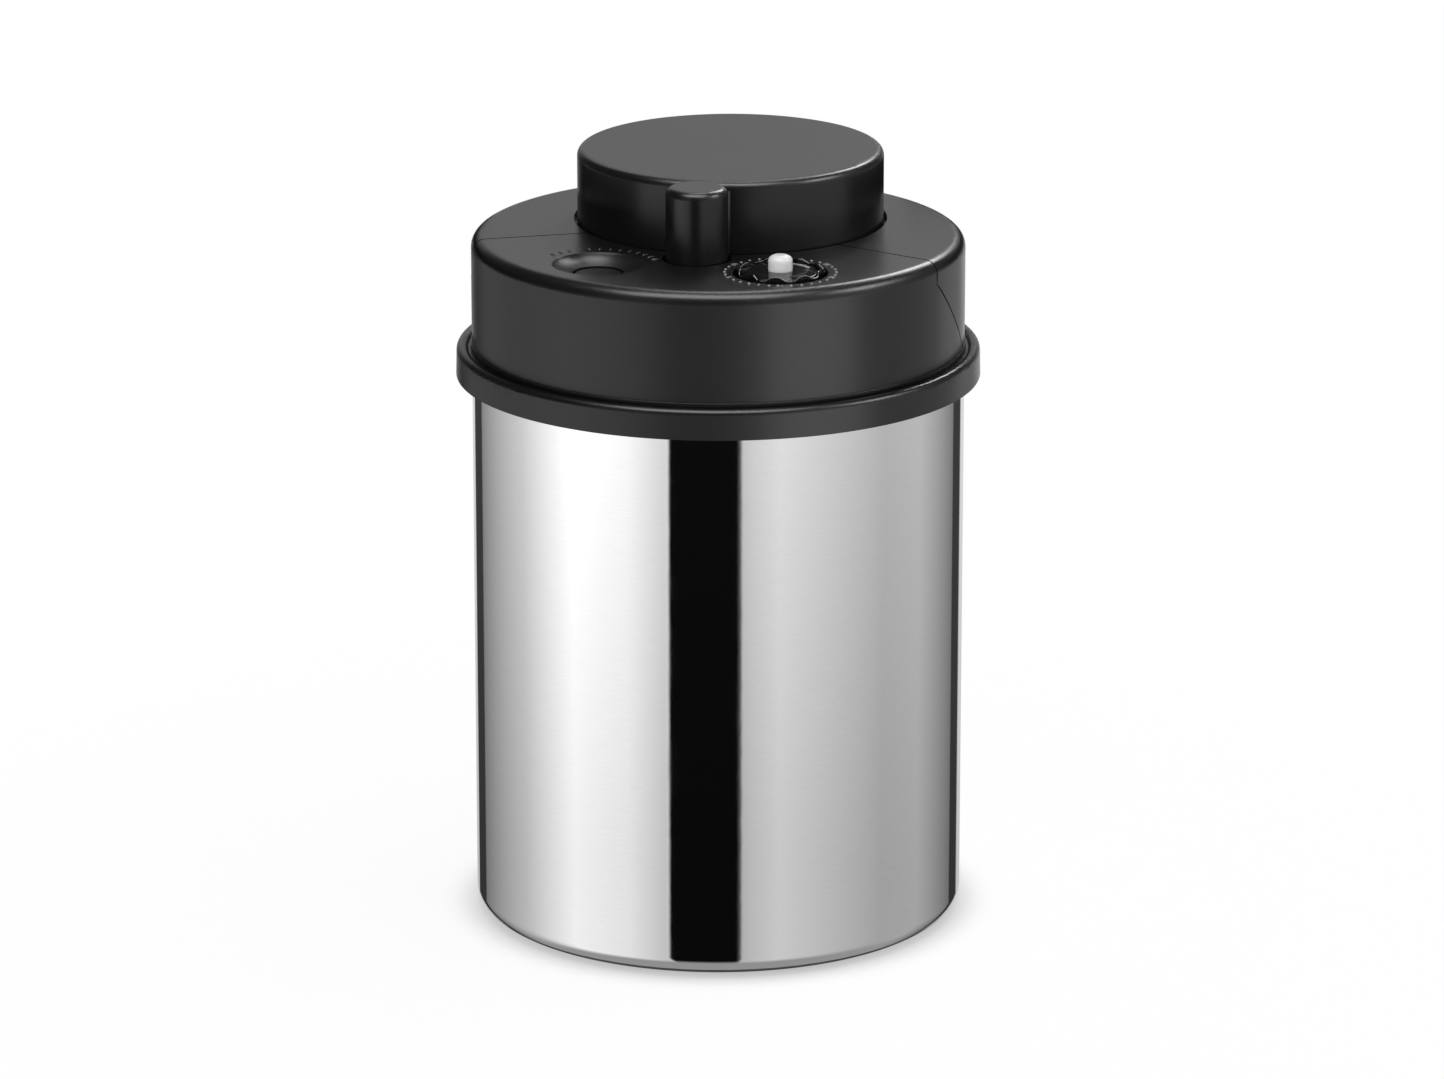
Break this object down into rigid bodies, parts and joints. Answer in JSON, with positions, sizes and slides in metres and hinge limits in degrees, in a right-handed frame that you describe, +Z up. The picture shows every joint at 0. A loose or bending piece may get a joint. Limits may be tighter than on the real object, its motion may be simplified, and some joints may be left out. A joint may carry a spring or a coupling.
{
  "type": "vacuum seal canister",
  "caption": "Cylindrical steel food canister with a black push-pump lid, date dial, release pin and vacuum indicator dish.",
  "frame": {"origin": "middle of the base, on the plane that the canister stands on", "axes": "+Z up along the can, -Y towards the front of the lid, where the key post of the knob is"},
  "size_m": [0.1214, 0.1214, 0.1785],
  "materials": {
    "satin_steel": "satin drawn steel",
    "satin_black_plastic": "fine satin grain",
    "gloss_black_plastic": "semi gloss",
    "white_plastic": "translucent",
    "silicone": "soft matt",
    "inner_plastic": "plain moulded",
    "felt": "pressed felt",
    "plated_steel": "bright plated"
  },
  "bodies": {
    "canister": {"steel_can": "satin_steel"},
    "lid": {"lid_base": "satin_black_plastic", "main_gasket": "silicone", "front_cover": "satin_black_plastic", "rear_cover": "satin_black_plastic", "pump_barrel": "inner_plastic", "barrel_oring": "silicone", "barrel_screws": "plated_steel", "inlet_valve": "silicone", "inlet_filter": "felt", "filter_cap": "inner_plastic", "pump_spring": "plated_steel", "release_spring": "plated_steel", "indicator_spring": "plated_steel", "indicator_diaphragm": "silicone", "diaphragm_ring": "inner_plastic"},
    "pump_knob": {"knob_cap": "satin_black_plastic", "knob_stop_ring": "inner_plastic", "knob_screws": "plated_steel", "piston_rod": "inner_plastic", "piston": "inner_plastic", "piston_seal": "silicone", "outlet_valve": "silicone", "piston_screw": "plated_steel"},
    "dial": {"date_dial": "gloss_black_plastic", "dial_clip": "plated_steel"},
    "release_valve": {"release_pin": "white_plastic", "release_plug": "silicone"},
    "vacuum_indicator": {"indicator_disc": "satin_black_plastic"}
  },
  "joints": [
    {"name": "lid_lift", "type": "slide", "parent": "canister", "child": "lid", "axis": [0, 0, 1], "range_m": [0, 0.05]},
    {"name": "knob_press", "type": "slide", "parent": "lid", "child": "pump_knob", "axis": [0, 0, -1], "range_m": [0, 0.012], "stiffness_N_per_m": 1500, "springref_m": -0.01, "deforming": ["pump_spring"]},
    {"name": "dial_turn", "type": "hinge", "parent": "lid", "child": "dial", "pos_m": [0.02094, -0.03431, 0.16], "axis": [0, 0, 1], "continuous": true},
    {"name": "pin_press", "type": "slide", "parent": "lid", "child": "release_valve", "axis": [0, 0, -1], "range_m": [0, 0.0025], "stiffness_N_per_m": 400, "springref_m": -0.004, "deforming": ["release_spring"]},
    {"name": "indicator_sink", "type": "slide", "parent": "lid", "child": "vacuum_indicator", "axis": [0, 0, -1], "range_m": [0, 0.0016], "stiffness_N_per_m": 200, "springref_m": -0.003, "deforming": ["indicator_spring", "indicator_diaphragm"]}
  ]
}
